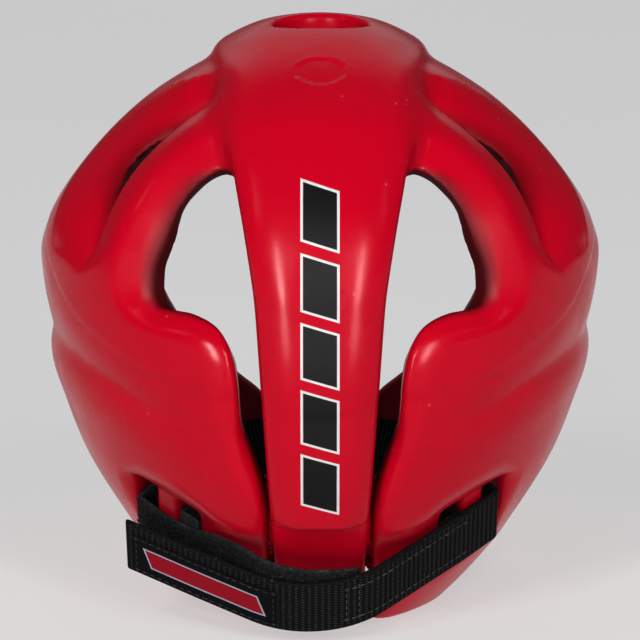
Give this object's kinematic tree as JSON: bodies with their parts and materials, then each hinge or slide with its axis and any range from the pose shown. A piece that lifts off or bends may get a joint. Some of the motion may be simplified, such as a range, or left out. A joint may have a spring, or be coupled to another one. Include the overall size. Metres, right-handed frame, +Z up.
{
  "type": "head guard",
  "caption": "Moulded foam head guard for sparring with a raised crown, rear tongue, open ribs, ear holes, an inner chin band and a hook-and-loop closing strap across the back.",
  "frame": {"origin": "on the surface that the guard stands on, under the middle of its outline", "axes": "+Z up, +Y the way the wearer faces, +X to the wearer's right"},
  "size_m": [0.21, 0.243, 0.2157],
  "materials": {
    "foam": "satin skin of a moulded foam",
    "webbing": "ribbed black webbing",
    "loop_pile": "fuzzy black loop pile",
    "label": "smooth woven label"
  },
  "bodies": {
    "root": {"shell": "foam", "hook_strap": "webbing", "loop_strap": "loop_pile", "strap_label": "label", "chin_strap": "webbing"}
  },
  "joints": []
}
